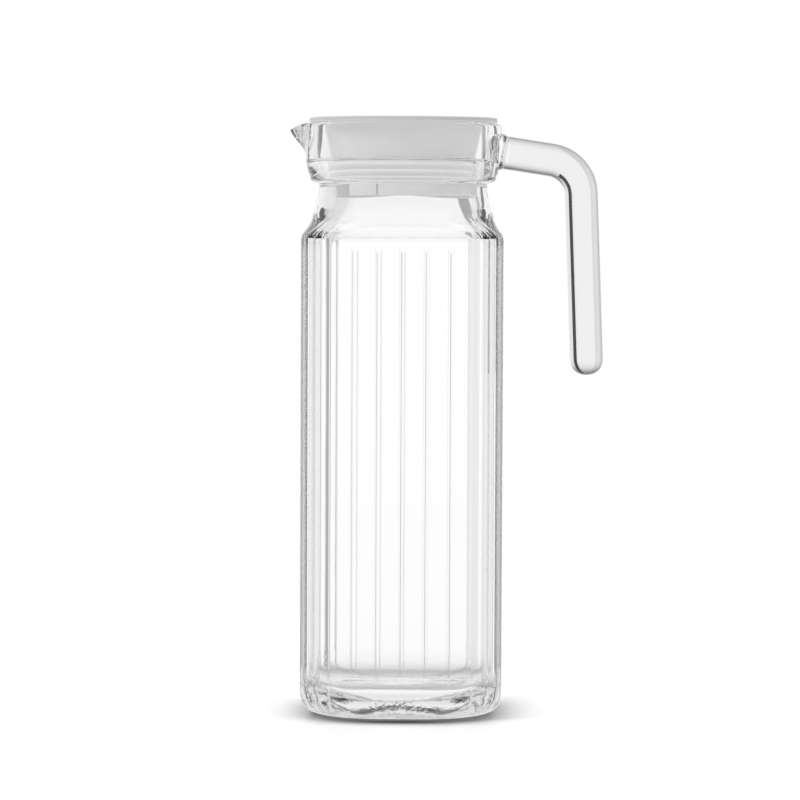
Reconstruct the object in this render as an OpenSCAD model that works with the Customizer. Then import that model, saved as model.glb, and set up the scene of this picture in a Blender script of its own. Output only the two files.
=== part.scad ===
// Square glass pitcher with a faceted body, a pouring lip, an open handle and a push-in lid.
// The pitcher stands on the origin, its lip points to -X and its handle to +X. Millimetres.

/* [Body] */
// Width of the body across its sides
body_w = 84.4; // [80:0.2:90]
// Height of the straight sides above the table
side_h = 200; // [170:1:230]
// Radius of the upright corners
corner_r = 11.6; // [10:0.1:13]
// Facets pressed into each side
facet_count = 6; // [5:1:7]
// Depth of each facet's hollow
facet_dip = 0.4; // [0.2:0.05:0.6]
// Glass of the sides
wall = 3.4; // [3:0.1:3.8]
// Glass of the bottom
base_t = 7.4; // [6:0.2:10]
// Width of the rounded heel between the sides and the foot
heel_w = 8; // [6:0.5:10]
// Corner radius of the foot
foot_corner_r = 27; // [24:1:30]
// Height of the rounded heel above the foot
heel_h = 9.5; // [8:0.5:11]
// Height at which the corners have come out of the heel
heel_corner_h = 20; // [16:1:24]
// Radius of the hollow pushed up under the bottom
punt_r = 26; // [22:1:30]
// Depth of that hollow
punt_d = 1.8; // [1:0.1:2.4]

/* [Neck and collar] */
// Height from the sides' top edge to the straight neck
shoulder_h = 21; // [18:0.5:24]
// Outer radius of the collar's body
collar_r = 41.7; // [41:0.1:42.4]
// Height of the collar
collar_h = 25.4; // [24.6:0.2:28]
// Glass of the collar above the ledge
collar_t = 5.1; // [4.6:0.1:5.4]
// Growth of the collar's radius above its lower edge
collar_swell = 2.4; // [1.8:0.1:2.8]
// Depth of the neck behind the collar's lower edge
neck_step = 3.65; // [3.2:0.05:4]
// Height of the straight neck under the collar
neck_h = 3; // [2.4:0.2:4]
// Glass of the neck, round the bore that the seal grips
neck_t = 3.35; // [3:0.05:3.8]
// Height of the ledge above the collar's underside
ledge_h = 10.2; // [9.8:0.1:10.6]
// Rounding of the rim
rim_round = 1.7; // [1.2:0.1:1.9]

/* [Pouring lip] */
// Distance that the lip stands out from the collar
lip_out = 6.2; // [5:0.1:7.2]
// Height of the lip below the rim
lip_drop = 12.6; // [11:0.2:14]
// Half of the angle that the lip takes in the collar's wall
lip_half_angle = 17; // [15:1:19]
// Half of the angle that its channel takes in the bore
channel_half_angle = 15; // [12:1:16]
// Rounding of the lip's tip
lip_tip_r = 2.2; // [1.9:0.1:2.6]
// Glass at the lip's tip
lip_t = 1.3; // [1.1:0.1:1.6]

/* [Handle] */
// Thickness of the handle, seen from the side
handle_t = 14; // [12.5:0.1:14.6]
// Breadth of the handle, seen from the end
handle_b = 16; // [14:0.5:18]
// Rounding of the edges on the finger side
handle_round = 4.4; // [3:0.1:5.5]
// Rounding of the edges on the back of the handle
back_round = 1.8; // [1:0.1:2.6]
// Slope of the arm down from the collar, in degrees
arm_slope = 8.75; // [6:0.25:10]
// Lean of the grip away from the body, in degrees
grip_lean = 2.1; // [1:0.1:3]
// Distance from the axis to where the arm and grip centre lines cross
handle_reach = 75; // [72:0.5:80]
// Drop of that crossing below the rim
handle_drop = 17.2; // [16.4:0.2:18]
// Radius of the bend's centre line
bend_r = 12.5; // [11:0.5:14]
// Distance from the crossing to the grip's lower end
grip_l = 88.6; // [70:1:100]

/* [Lid] */
// Width of the flange that lies over the rim
flange_cover = 3.25; // [2.8:0.05:3.4]
// Thickness of the flange
flange_t = 2; // [1.6:0.1:2.6]
// Gap between the dish and the mouth, under the flange
dish_gap = 2.8; // [2.2:0.1:3.4]
// Gap between the skirt and the bore
skirt_gap = 0.9; // [0.7:0.1:1.3]
// Depth of the seal's groove behind the skirt
groove_d = 3; // [2.4:0.1:3.6]
// Height of the skirt
skirt_h = 7.5; // [6.6:0.1:8.4]
// Plastic of the lid
lid_wall = 1.7; // [1.4:0.1:1.9]
// Thickness of the finger bar across the dish
grip_bar_t = 5; // [3.6:0.2:7]
// Half of the angle of the window in the skirt
window_half_angle = 30; // [24:1:34]
// Angle of each springy tab beside the window
tab_angle = 24; // [18:1:28]
// Width of the slit behind each tab
tab_slit = 1; // [0.8:0.1:1.6]
// Turn of the lid on the pitcher, in degrees from the lip
lid_turn = 17; // [0:1:30]

/* [Seal ring] */
// Thickness of the ring's band
seal_t = 1.2; // [0.9:0.1:1.6]
// Thickness of a lip's edge
seal_lip_t = 0.7; // [0.5:0.05:0.9]
// Height of the seal ring
seal_h = 7.6; // [7:0.1:8]

/* [Clearances] */
// Gap between the lid's flange and the rim
seat_gap = 0.3; // [0.2:0.05:0.4]
// Gap between the seal's lips and the bore
lip_gap = 0.3; // [0.2:0.05:0.4]
// Gap between the seal ring and the plug that turns in it
turn_gap = 0.3; // [0.2:0.05:0.35]

/* [Hidden] */
$fn = 96;

// Amount by which a cut runs past what it cuts
over = 1;
// Chords that draw one facet, one corner and one rounded edge
facet_chords = 4;
corner_chords = 3;
round_steps = 6;
// Steps along a side and round a corner of the cavity
cavity_side_steps = 6;
cavity_corner_steps = 8;
// Points on each side of the lip's round tip, and the angle that they take
tip_steps = 3;
tip_spread = 48;
// Rings round the handle's bend and its lower end
bend_steps = 9;
end_steps = 5;
// Angle of the last ring on that end, and the most of a thickness that an edge may round
end_turn = 86;
edge_share = 0.48;
// Rise of the collar's underside from the neck to its outer edge, and the turn of that edge
underside_rise = 0.5;
underside_turn = 70;
// Corner radius and rounded floor edge of the cavity
cavity_corner_r = 10;
cavity_round = 11;
// Land that stands proud under the heel
foot_land = 0.4;

half_w = body_w / 2;
foot_half = half_w - heel_w;
collar_foot_r = collar_r - collar_swell;
neck_r = collar_foot_r - neck_step;
bore_r = neck_r - neck_t;
mouth_r = collar_r - collar_t;
lip_reach = collar_r + lip_out;
flange_r = mouth_r + flange_cover;
dish_r = mouth_r - dish_gap;
skirt_r = bore_r - skirt_gap;
plug_r = skirt_r - groove_d;
dish_foot_r = plug_r + turn_gap + seal_t;
neck_z = side_h + shoulder_h;
collar_z = neck_z + neck_h;
ledge_z = collar_z + ledge_h;
rim_z = collar_z + collar_h;
flange_z = rim_z + seat_gap;
groove_h = seal_h + 2 * turn_gap;
groove_z = ledge_z - groove_h;
skirt_z = groove_z - skirt_h;
lid_top_z = flange_z + flange_t;

// Shoulder rows: height, fall from the side to the neck, and roundness, each as a share
shoulder_shares = [
    [0, 0, 0], [0.08, 0.034, 0.03], [0.16, 0.163, 0.14], [0.24, 0.34, 0.3], [0.32, 0.463, 0.48],
    [0.45, 0.585, 0.74], [0.61, 0.714, 0.93], [0.75, 0.81, 1], [0.88, 0.92, 1], [1.1, 1.05, 1]
];
// Rows of the cavity's shoulder, in the same terms, from the sides to the bore
cavity_shares = [
    [0, 0, 0], [0.12, 0.05, 0.06], [0.28, 0.2, 0.24], [0.44, 0.4, 0.5], [0.6, 0.6, 0.78],
    [0.78, 0.8, 0.96], [0.92, 0.93, 1], [1.12, 1.07, 1]
];
// Where the collar's underside breaks, as a share of its width
underside_share = 0.4;
// Swell of the collar: height up to the ledge and growth to its full radius, as shares
barrel_shares = [[0.6, 0.55], [1, 0.85]];
// Heel rows: share of the heel's quarter turn
heel_shares = [0, 0.2, 0.4, 0.6, 0.8, 1];
// Lip rows: height above the lip's root and reach of the outside, as shares
lip_shares = [
    [-0.08, -0.06], [0.11, 0.04], [0.25, 0.26], [0.38, 0.5], [0.52, 0.74], [0.64, 0.93], [0.73, 1],
    [0.81, 0.95], [0.87, 0.84], [0.93, 0.6], [0.97, 0.25], [0.99, -0.25]
];
// Channel rows: height above the lip's root and reach of the channel, as shares
channel_shares = [
    [-0.12, -0.02], [0.11, 0.3], [0.38, 0.59], [0.56, 0.77], [0.72, 0.93], [0.81, 0.98], [1.3, 1]
];
// Flare of the arm into the collar: distance past its root and extra size, as shares
flare_shares = [[-1, 0.34], [0, 0.3], [0.5, 0.13], [1.1, 0.04], [2, 0]];
// Heights of the seal's lips in the ring, as shares of its height
seal_lip_shares = [0.1, 0.46, 0.82];

// Distance from the axis to the edge of a rounded square, in direction a
function square_reach(half, r, a) =
    let (c = abs(cos(a)), s = abs(sin(a)), k = half - r)
    half * min(c, s) / max(c, s) <= k ? half / max(c, s)
        : k * (c + s) + sqrt(r * r - k * k * (c - s) * (c - s));

// Directions of the points of a rounded square, with steps along each side and each corner
function square_directions(half, r, side_steps, corner_steps) = [
    for (side = [0:3]) each concat(
        [for (i = [0:side_steps]) side * 90 + atan2((half - r) * (2 * i / side_steps - 1), half)],
        [for (j = [1:corner_steps - 1])
            let (a = 90 * j / corner_steps)
            side * 90 + atan2(half - r + r * sin(a), half - r + r * cos(a))]
    )
];

// Hollow of the facets at each of those directions, from 0 on a ridge to 1 in mid facet
function facet_hollows(side_steps, corner_steps) = [
    for (side = [0:3]) each concat(
        [for (i = [0:side_steps]) let (u = i % facet_chords / facet_chords) 4 * u * (1 - u)],
        [for (j = [1:corner_steps - 1]) 0]
    )
];

outer_steps = facet_count * facet_chords;
outer_directions = square_directions(half_w, corner_r, outer_steps, corner_chords);
outer_hollows = facet_hollows(outer_steps, corner_chords);
cavity_half = half_w - wall;
cavity_directions = square_directions(cavity_half, cavity_corner_r, cavity_side_steps, cavity_corner_steps);

// Ring of points on a rounded square at height z, with its facets dip deep
function outer_ring(half, r, dip, z) = [
    for (i = [0:len(outer_directions) - 1])
        let (a = outer_directions[i], d = square_reach(half, r, a) - dip * outer_hollows[i])
        [d * cos(a), d * sin(a), z]
];

function cavity_ring(half, r, z) = [
    for (a = cavity_directions)
        let (d = square_reach(half, r, a))
        [d * cos(a), d * sin(a), z]
];

// Points on a quarter or other arc in a profile, from angle a to angle b
function arc(x, y, r, a, b) = [
    for (i = [0:round_steps])
        let (t = a + (b - a) * i / round_steps)
        [x + r * cos(t), y + r * sin(t)]
];

function blend(a, b, t) = a + (b - a) * t;

// Solid through rings of points that are listed from the lowest to the highest
module loft(rings) {
    n = len(rings[0]);
    last = len(rings) - 1;
    polyhedron(
        points = [for (r = rings) each r],
        faces = concat(
            [[for (i = [0:n - 1]) i]],
            [[for (i = [n - 1:-1:0]) last * n + i]],
            [for (k = [0:last - 1], i = [0:n - 1])
                let (j = (i + 1) % n)
                [k * n + i, (k + 1) * n + i, (k + 1) * n + j, k * n + j]]
        )
    );
}

// Corner radius of the body at height z, from the foot's to the upright corners'
function heel_corner(z) =
    let (t = max(0, 1 - z / heel_corner_h))
    blend(corner_r, foot_corner_r, t * t);

// Outside of the body: heel, faceted sides and the shoulder that turns them round
module body_outside() {
    heel = [
        for (t = heel_shares)
            let (z = foot_land / 2 + (heel_h - foot_land / 2) * (1 - cos(90 * t)))
            outer_ring(blend(foot_half, half_w, sin(90 * t)), heel_corner(z), facet_dip * t, z)
    ];
    corner_z = blend(heel_h, heel_corner_h, 0.5);
    sides = [
        outer_ring(half_w, heel_corner(corner_z), facet_dip, corner_z),
        outer_ring(half_w, corner_r, facet_dip, heel_corner_h)
    ];
    shoulder = [
        for (s = shoulder_shares)
            let (half = blend(half_w, neck_r, s[1]))
            outer_ring(half, blend(corner_r, half, s[2]), facet_dip * (1 - s[2]), side_h + shoulder_h * s[0])
    ];
    loft(concat(heel, sides, shoulder));
}

// Flat land of the foot, which meets the table
module foot() {
    linear_extrude(foot_land)
        polygon([for (p = outer_ring(foot_half - foot_land, foot_corner_r - foot_land, 0, 0)) [p.x, p.y]]);
}

// Hollow pushed up under the bottom
module punt() {
    sphere_r = (punt_r * punt_r + punt_d * punt_d) / (2 * punt_d);
    translate([0, 0, punt_d - sphere_r])
        sphere(r = sphere_r);
}

// Space inside the body, up to the bore
module cavity() {
    floor_half = cavity_half - cavity_round;
    floor_edge = [
        for (t = heel_shares)
            let (half = blend(floor_half, cavity_half, sin(90 * t)))
            cavity_ring(half, blend(half, cavity_corner_r, t * t), base_t + cavity_round * (1 - cos(90 * t)))
    ];
    start_z = side_h - wall / 2;
    rise = neck_z - wall - start_z;
    shoulder = [
        for (s = cavity_shares)
            let (half = blend(cavity_half, bore_r, s[1]))
            cavity_ring(half, blend(cavity_corner_r, half, s[2]), start_z + rise * s[0])
    ];
    loft(concat(floor_edge, shoulder));
}

// Neck and collar as one turned solid
module collar() {
    start_z = neck_z - shoulder_h / 4;
    edge_z = collar_z + underside_rise + rim_round;
    rotate_extrude()
        polygon(concat(
            [[0, start_z], [neck_r, start_z], [neck_r, collar_z - rim_round / 2]],
            [[blend(neck_r, collar_foot_r, underside_share), collar_z]],
            arc(collar_foot_r - rim_round, edge_z, rim_round, -underside_turn, 0),
            [for (s = barrel_shares) [blend(collar_foot_r, collar_r, s[1]), blend(collar_z, ledge_z, s[0])]],
            arc(collar_r - rim_round, rim_z - rim_round, rim_round, 0, 90),
            [[0, rim_z]]
        ));
}

// Bore, ledge and wide mouth, turned out of the collar
module mouth() {
    lead = rim_round / 2;
    rotate_extrude()
        polygon([
            [0, neck_z - wall - over], [bore_r, neck_z - wall - over], [bore_r, ledge_z - lead],
            [bore_r + lead, ledge_z], [mouth_r - lead, ledge_z], [mouth_r, ledge_z + lead],
            [mouth_r, rim_z - rim_round], [mouth_r + lead / 2, rim_z - lead / 2],
            [mouth_r + lead, rim_z], [mouth_r + lead, rim_z + over], [0, rim_z + over]
        ]);
}

// Section of the lip or its channel: straight flanks from an arc at the back to a round tip
function beak(tip_x, tip_r, back_r, half_angle, z) = concat(
    [[-back_r * cos(half_angle), back_r * sin(half_angle), z]],
    [for (i = [-tip_steps:tip_steps])
        let (a = tip_spread * i / tip_steps)
        [tip_r - tip_x - tip_r * cos(a), -tip_r * sin(a), z]],
    [[-back_r * cos(half_angle), -back_r * sin(half_angle), z]]
);

// Pouring lip, drawn out of the collar's upper half
module lip() {
    loft([
        for (s = lip_shares)
            beak(blend(collar_r, lip_reach, s[1]), lip_tip_r, (mouth_r + collar_r) / 2, lip_half_angle,
                rim_z - lip_drop * (1 - s[0]))
    ]);
}

// Channel through the collar's wall and along the lip
module channel() {
    loft([
        for (s = channel_shares)
            beak(blend(mouth_r, lip_reach - lip_t, s[1]), lip_tip_r - lip_t, bore_r, channel_half_angle,
                rim_z - lip_drop * (1 - s[0]))
    ]);
}

// Section of the handle: thickness t with its finger side at +x, breadth b, and both edge radii
function bar_section(t, b, finger_r, back_r) =
    let (f = min(finger_r, t * edge_share), k = min(back_r, t * edge_share))
    concat(
        arc(t / 2 - f, b / 2 - f, f, 0, 90),
        arc(k - t / 2, b / 2 - k, k, 90, 180),
        arc(k - t / 2, k - b / 2, k, 180, 270),
        arc(t / 2 - f, f - b / 2, f, 270, 360)
    );

// The section placed at x and z, square to a path that runs down at slope a
function bar_ring(x, z, a, t, b) = [
    for (p = bar_section(t, b, handle_round, back_round))
        [x - p.x * sin(a), p.y, z - p.x * cos(a)]
];

// Handle: an arm that flares into the collar, a bend and a grip that hangs free
module handle() {
    turn = 90 - arm_slope - grip_lean;
    tangent = bend_r * tan(turn / 2);
    cross_z = rim_z - handle_drop;
    root_x = (mouth_r + collar_r) / 2;
    arm_l = (handle_reach - root_x) / cos(arm_slope);
    straight_end = grip_l - handle_t / 2;
    grip_a = arm_slope + turn;
    bend_x = handle_reach - tangent * cos(arm_slope) - bend_r * sin(arm_slope);
    bend_z = cross_z + tangent * sin(arm_slope) - bend_r * cos(arm_slope);
    flare_l = collar_r - root_x;
    arm = [
        for (s = flare_shares)
            let (d = flare_l * (1 + s[0]))
            bar_ring(handle_reach - (arm_l - d) * cos(arm_slope), cross_z + (arm_l - d) * sin(arm_slope),
                arm_slope, handle_t * (1 + s[1]), handle_b * (1 + s[1]))
    ];
    round_the_bend = [
        for (i = [0:bend_steps])
            let (a = arm_slope + turn * i / bend_steps)
            bar_ring(bend_x + bend_r * sin(a), bend_z + bend_r * cos(a), a, handle_t, handle_b)
    ];
    round_end = [
        for (i = [0:end_steps])
            let (t = end_turn * i / end_steps, d = straight_end + handle_t / 2 * sin(t))
            bar_ring(handle_reach + d * cos(grip_a), cross_z - d * sin(grip_a), grip_a,
                handle_t * cos(t), handle_b - 2 * handle_round * (1 - cos(t)))
    ];
    loft(concat(arm, round_the_bend, round_end));
}

// Whole pitcher glass, pressed in one piece
module jug_glass() {
    color([0.86, 0.93, 0.93, 0.45])
        difference() {
            union() {
                body_outside();
                foot();
                collar();
                lip();
                handle();
            }
            cavity();
            mouth();
            channel();
            punt();
        }
}

// Soft ring that lies in the lid's groove and wipes the bore with three lips
module seal_ring() {
    inner_r = plug_r + turn_gap;
    band_r = inner_r + seal_t;
    lip_r = bore_r - lip_gap;
    low_z = groove_z + turn_gap;
    color([0.93, 0.93, 0.92])
        rotate_extrude() {
            translate([inner_r, low_z])
                square([seal_t, seal_h]);
            for (s = seal_lip_shares)
                translate([band_r, low_z + seal_h * s])
                    polygon([
                        [-seal_t / 2, -seal_lip_t], [0, -seal_lip_t], [lip_r - band_r, 0],
                        [lip_r - band_r, seal_lip_t], [0, seal_lip_t], [-seal_t / 2, seal_lip_t]
                    ]);
        }
}

// Turned shape of the lid: flange, dish, groove for the seal and open skirt
module lid_shell() {
    floor_z = ledge_z + lid_wall;
    edge = flange_t / 4;
    rotate_extrude()
        polygon([
            [0, floor_z], [dish_foot_r - 2 * lid_wall, floor_z],
            [dish_foot_r - lid_wall, floor_z + lid_wall / 2], [dish_r - lid_wall, flange_z],
            [dish_r - lid_wall + edge, lid_top_z], [flange_r - edge, lid_top_z],
            [flange_r, lid_top_z - edge], [flange_r, flange_z], [dish_r, flange_z],
            [dish_foot_r, ledge_z], [plug_r, ledge_z], [plug_r, groove_z], [skirt_r, groove_z],
            [skirt_r, skirt_z], [skirt_r - lid_wall, skirt_z], [skirt_r - lid_wall, groove_z - lid_wall],
            [plug_r - lid_wall, groove_z - lid_wall / 2], [plug_r - lid_wall, ledge_z], [0, ledge_z]
        ]);
}

// Bar across the dish, held between finger and thumb
module grip_bar() {
    intersection() {
        translate([0, 0, ledge_z])
            cylinder(h = lid_top_z - ledge_z, r1 = dish_foot_r - lid_wall / 2, r2 = dish_r - lid_wall / 2);
        translate([-dish_r, -grip_bar_t / 2, ledge_z])
            cube([2 * dish_r, grip_bar_t, lid_top_z - ledge_z]);
    }
}

// Wedge that cuts the skirt from angle a to angle b about the axis
module skirt_cut(a, b) {
    reach = skirt_r + over;
    far = reach / cos((b - a) / 2);
    translate([0, 0, skirt_z - over])
        linear_extrude(skirt_h + over - lid_wall)
            polygon([
                [0, 0], [reach * cos(a), reach * sin(a)],
                [far * cos((a + b) / 2), far * sin((a + b) / 2)],
                [reach * cos(b), reach * sin(b)]
            ]);
}

// Slit that frees a tab of the skirt at angle a
module slit(a) {
    rotate([0, 0, a])
        translate([plug_r - lid_wall, -tab_slit / 2, skirt_z - over])
            cube([skirt_r, tab_slit, skirt_h + over - lid_wall]);
}

// Lid with its pouring window turned a little from the lip
module lid() {
    color([0.95, 0.95, 0.94])
        rotate([0, 0, lid_turn]) {
            difference() {
                lid_shell();
                skirt_cut(180 - window_half_angle, 180 + window_half_angle);
                for (side = [-1, 1])
                    slit(180 + side * (window_half_angle + tab_angle));
            }
            grip_bar();
        }
}

jug_glass();
seal_ring();
lid();
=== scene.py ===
"""Square faceted glass pitcher with its white push-in lid, on a white table.

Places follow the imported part: the pitcher stands on the origin, lip to -X, handle to +X, and the
camera looks towards +Y. Shapes are worked out in millimetres and put into the meshes in metres.
"""
import math

import bpy
import numpy as np
from mathutils import Matrix, Vector


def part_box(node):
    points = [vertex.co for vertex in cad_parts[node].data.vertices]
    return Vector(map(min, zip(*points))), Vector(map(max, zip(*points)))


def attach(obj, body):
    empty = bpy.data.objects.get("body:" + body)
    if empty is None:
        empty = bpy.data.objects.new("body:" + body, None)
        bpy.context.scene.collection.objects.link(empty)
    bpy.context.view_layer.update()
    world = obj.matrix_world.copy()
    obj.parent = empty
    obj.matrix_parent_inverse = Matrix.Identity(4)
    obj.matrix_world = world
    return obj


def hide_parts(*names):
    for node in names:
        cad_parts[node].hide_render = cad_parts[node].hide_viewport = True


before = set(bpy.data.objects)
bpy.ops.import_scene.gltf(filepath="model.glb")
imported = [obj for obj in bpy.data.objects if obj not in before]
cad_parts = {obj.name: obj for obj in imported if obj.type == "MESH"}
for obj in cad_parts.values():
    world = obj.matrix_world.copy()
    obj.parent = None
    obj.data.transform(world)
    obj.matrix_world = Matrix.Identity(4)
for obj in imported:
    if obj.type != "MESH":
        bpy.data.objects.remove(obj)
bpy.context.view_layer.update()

MM = 0.001

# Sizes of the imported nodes, in millimetres
jug_low, jug_high = (np.array(c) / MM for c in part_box("jug_glass"))
lid_low, lid_high = (np.array(c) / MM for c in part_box("lid"))
seal_low, seal_high = (np.array(c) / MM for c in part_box("seal_ring"))
HALF_W, RIM_Z, LIP_REACH = jug_high[1], jug_high[2], -jug_low[0]
FLANGE_R, LID_TOP, SKIRT_Z = lid_high[1], lid_high[2], lid_low[2]
SEAL_R, SEAL_FOOT, SEAL_TOP = seal_high[0], seal_low[2], seal_high[2]

# Sizes that the part's source names or works out, repeated here
CORNER_R = 11.6
SIDE_H, SHOULDER_H, NECK_H, LEDGE_H = 200.0, 21.0, 3.0, 10.2
WALL, BASE_T = 3.4, 7.4
HEEL_W, FOOT_CORNER, HEEL_H, HEEL_CORNER_H = 8.0, 27.0, 9.5, 20.0
PUNT_R, PUNT_D = 26.0, 1.8
COLLAR_R, COLLAR_FOOT_R, NECK_R, BORE_R, MOUTH_R = 41.7, 39.3, 35.65, 32.3, 36.6
HANDLE_T, HANDLE_B, FINGER_ROUND = 14.0, 16.0, 4.4
ARM_SLOPE, GRIP_LEAN = math.radians(8.75), math.radians(2.1)
HANDLE_REACH, HANDLE_DROP = 75.0, 17.2
FLANGE_T, DISH_R, PLUG_R, SKIRT_R = 2.0, 33.8, 28.4, 31.4
GROOVE_H, SKIRT_H = 8.2, 7.5
LID_WALL, BAR_T, LID_TURN = 1.7, 5.0, math.radians(17.0)
WINDOW_HALF, TAB_ANGLE, TAB_SLIT = math.radians(30.0), math.radians(24.0), 1.0
SEAL_T, SEAL_LIP_T, TURN_GAP = 1.2, 0.7, 0.3

# Sizes that the source has otherwise: the inside's corner radius, the rounding round its floor,
# across and up, and the handle's back edges, bend and grip
CAVITY_CORNER, CAVITY_ROUND, CAVITY_H = 6.2, 16.0, 14.0
BACK_ROUND, BEND_R, GRIP_L = 4.0, 15.0, 89.0

# Places that follow from these
NECK_Z = SIDE_H + SHOULDER_H
COLLAR_Z = NECK_Z + NECK_H
LEDGE_Z = COLLAR_Z + LEDGE_H
CAVITY_HALF = HALF_W - WALL
FOOT_HALF = HALF_W - HEEL_W
LIP_ROOT_R = (MOUTH_R + COLLAR_R) / 2
GROOVE_Z = LEDGE_Z - GROOVE_H
WINDOW_TOP = SKIRT_Z + SKIRT_H - LID_WALL
FLANGE_Z = LID_TOP - FLANGE_T
DISH_FOOT_R = PLUG_R + TURN_GAP + SEAL_T

# Ridges between a side's facets, by their distance from its middle, and between a corner's chords,
# by their turn round the corner's middle. The outermost ridges lie further in than the source's
SIDE_RIDGES = np.array([-29.3, -20.45, -10.2, 0, 10.2, 20.45, 29.3])
CORNER_RIDGES = np.radians([30, 60])
FACETS = len(SIDE_RIDGES) - 1
FACET_STEPS, CHORD_STEPS = 14, 12
FACET_W, CHORD_W = 10.2, 5.9

# The glass lies this much behind the beads on its ridges, and a facet's middle a little deeper, but
# less deep than the source's. Half widths of the beads: on a plain ridge, and where an outer facet
# runs softly into the corner
FACET_SUNK, CHORD_SUNK, FACET_DISH = 0.075, 0.22, 0.05
BEAD_W, SOFT_BEAD_W = 0.26, 2.5

# The arches in which facets end: their rise over the sides, their sag towards the ridges and the
# height over which they fade. A chord's arch rises and fades further. On the heel, facets and
# chords fade in over a length from a height of their own
ARCH_RISE, ARCH_SAG, ARCH_FADE, CHORD_RISE = 2.8, 3.0, 2.6, 9.0
FACET_START, FACET_FADE, CHORD_START, CHORD_FADE = 6.0, 7.0, 1.5, 4.0

# The shoulder: share of its height, of the way in from the sides to the neck, and of the corner's
# way from its own radius to a full circle. It stops just short of that
SHOULDER_FALL = np.array([
    [0, 0, 0], [0.08, 0.034, 0.03], [0.16, 0.163, 0.14], [0.24, 0.34, 0.3], [0.32, 0.463, 0.48],
    [0.45, 0.585, 0.74], [0.61, 0.714, 0.93], [0.75, 0.81, 1], [0.88, 0.92, 1], [1.0, 1.0, 1],
])
NEARLY_ROUND = 0.985

# The collar's swell, as (radius, height), and the roundings of the rim's outer and inner edge
RIM_ROUND, MOUTH_ROUND, LEDGE_ROUND = 1.7, 0.85, 0.4
COLLAR_SWELL = [
    [39.3, 226.1], [39.95, 228], [40.55, 230.2], [41.0, 232.6], [41.35, 235.2], [41.6, 239],
    [41.7, 243.5], [41.7, RIM_Z - RIM_ROUND],
]

# The lip and its channel: how far they reach at some heights, the half angle that they take of the
# circle they are drawn from, how round their crease is, and how far the rim falls at the tip
LIP_Z = [236.4, 238.2, 239.9, 241.6, 243.3, 244.7, 245.9, 247.0, 260]
LIP_OUT = [40.6, 41.9, 43.3, 44.8, 46.2, 47.2, LIP_REACH - 0.1, LIP_REACH, LIP_REACH]
CHANNEL_FOOT, CHANNEL_SLOPE = 37.6, 0.8
CHANNEL_OUT = np.array([0.0, 1.25, 2.65, 4.15, 5.55, 6.6, 7.5, 8.0, 8.0]) + CHANNEL_FOOT
LIP_START_Z = LIP_Z[0] - 0.4
LIP_HALF, CHANNEL_HALF = math.radians(17), math.radians(15)
LIP_CREASE, CHANNEL_CREASE = 0.035, 0.02
LIP_DROP = 2.3

# What the handle's bend turns by, and the distance from its ends to where arm and grip would cross
BEND_TURN = math.pi / 2 - ARM_SLOPE - GRIP_LEAN
BEND_TANGENT = BEND_R * math.tan(BEND_TURN / 2)

# Edges that stay crisp turn by more than this
CRISP, CRISP_AFTER_CUT = math.radians(30), math.radians(34)


def along(keys, steps):
    """Rows on a smooth curve through the key rows: between two keys, the cubic whose slope at each
    key is half the step between that key's neighbours, the same for each column."""
    k = np.array(keys, float)
    slope = np.gradient(k, axis=0)
    t = np.linspace(0, len(k) - 1, steps)
    i = np.minimum(t.astype(int), len(k) - 2)
    u = (t - i)[:, None]
    h = (2 * u**3 - 3 * u**2 + 1, u**3 - 2 * u**2 + u, 3 * u**2 - 2 * u**3, u**3 - u**2)
    return h[0] * k[i] + h[1] * slope[i] + h[2] * k[i + 1] + h[3] * slope[i + 1]


def arc(r, z, radius, start, end, steps):
    """Profile points on a circle of that radius round (r, z), from one angle to the other, in
    degrees."""
    a = np.radians(np.linspace(start, end, steps))
    return np.stack([r + radius * np.cos(a), z + radius * np.sin(a)], 1)


def eased(t):
    """Smooth step from 0 to 1: three times the square less twice the cube."""
    t = np.clip(t, 0, 1)
    return t * t * (3 - 2 * t)


def smooth_max(a, b, blend):
    """The larger of a and b, with the crease between them rounded over about blend: half of their
    sum and of the root of their difference squared plus blend squared."""
    return 0.5 * (a + b + np.sqrt((a - b) ** 2 + blend**2))


def square_reach(half, corner, a):
    """Distance from the axis to the edge of a rounded square in direction a: half over the larger
    of cos and sin on its sides, and the far root of the corner circle's equation at its corners."""
    c, s = np.abs(np.cos(a)), np.abs(np.sin(a))
    big, small = np.maximum(c, s), np.minimum(c, s)
    k = half - corner
    flat = half * small / big <= k
    under = np.maximum(corner**2 - (k * (c - s)) ** 2, 0)
    return np.where(flat, half / big, k * (c + s) + np.sqrt(under))


def ridge_steps(steps):
    """Places of columns between two ridges, closer together towards the ridges: a cosine run of a
    cosine run, with a little of an even run in it."""
    even_share = 0.12
    even = np.arange(steps) / steps
    t = even
    for _ in range(2):
        t = 0.5 * (1 - np.cos(np.pi * t))
    return even_share * even + (1 - even_share) * t


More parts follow.
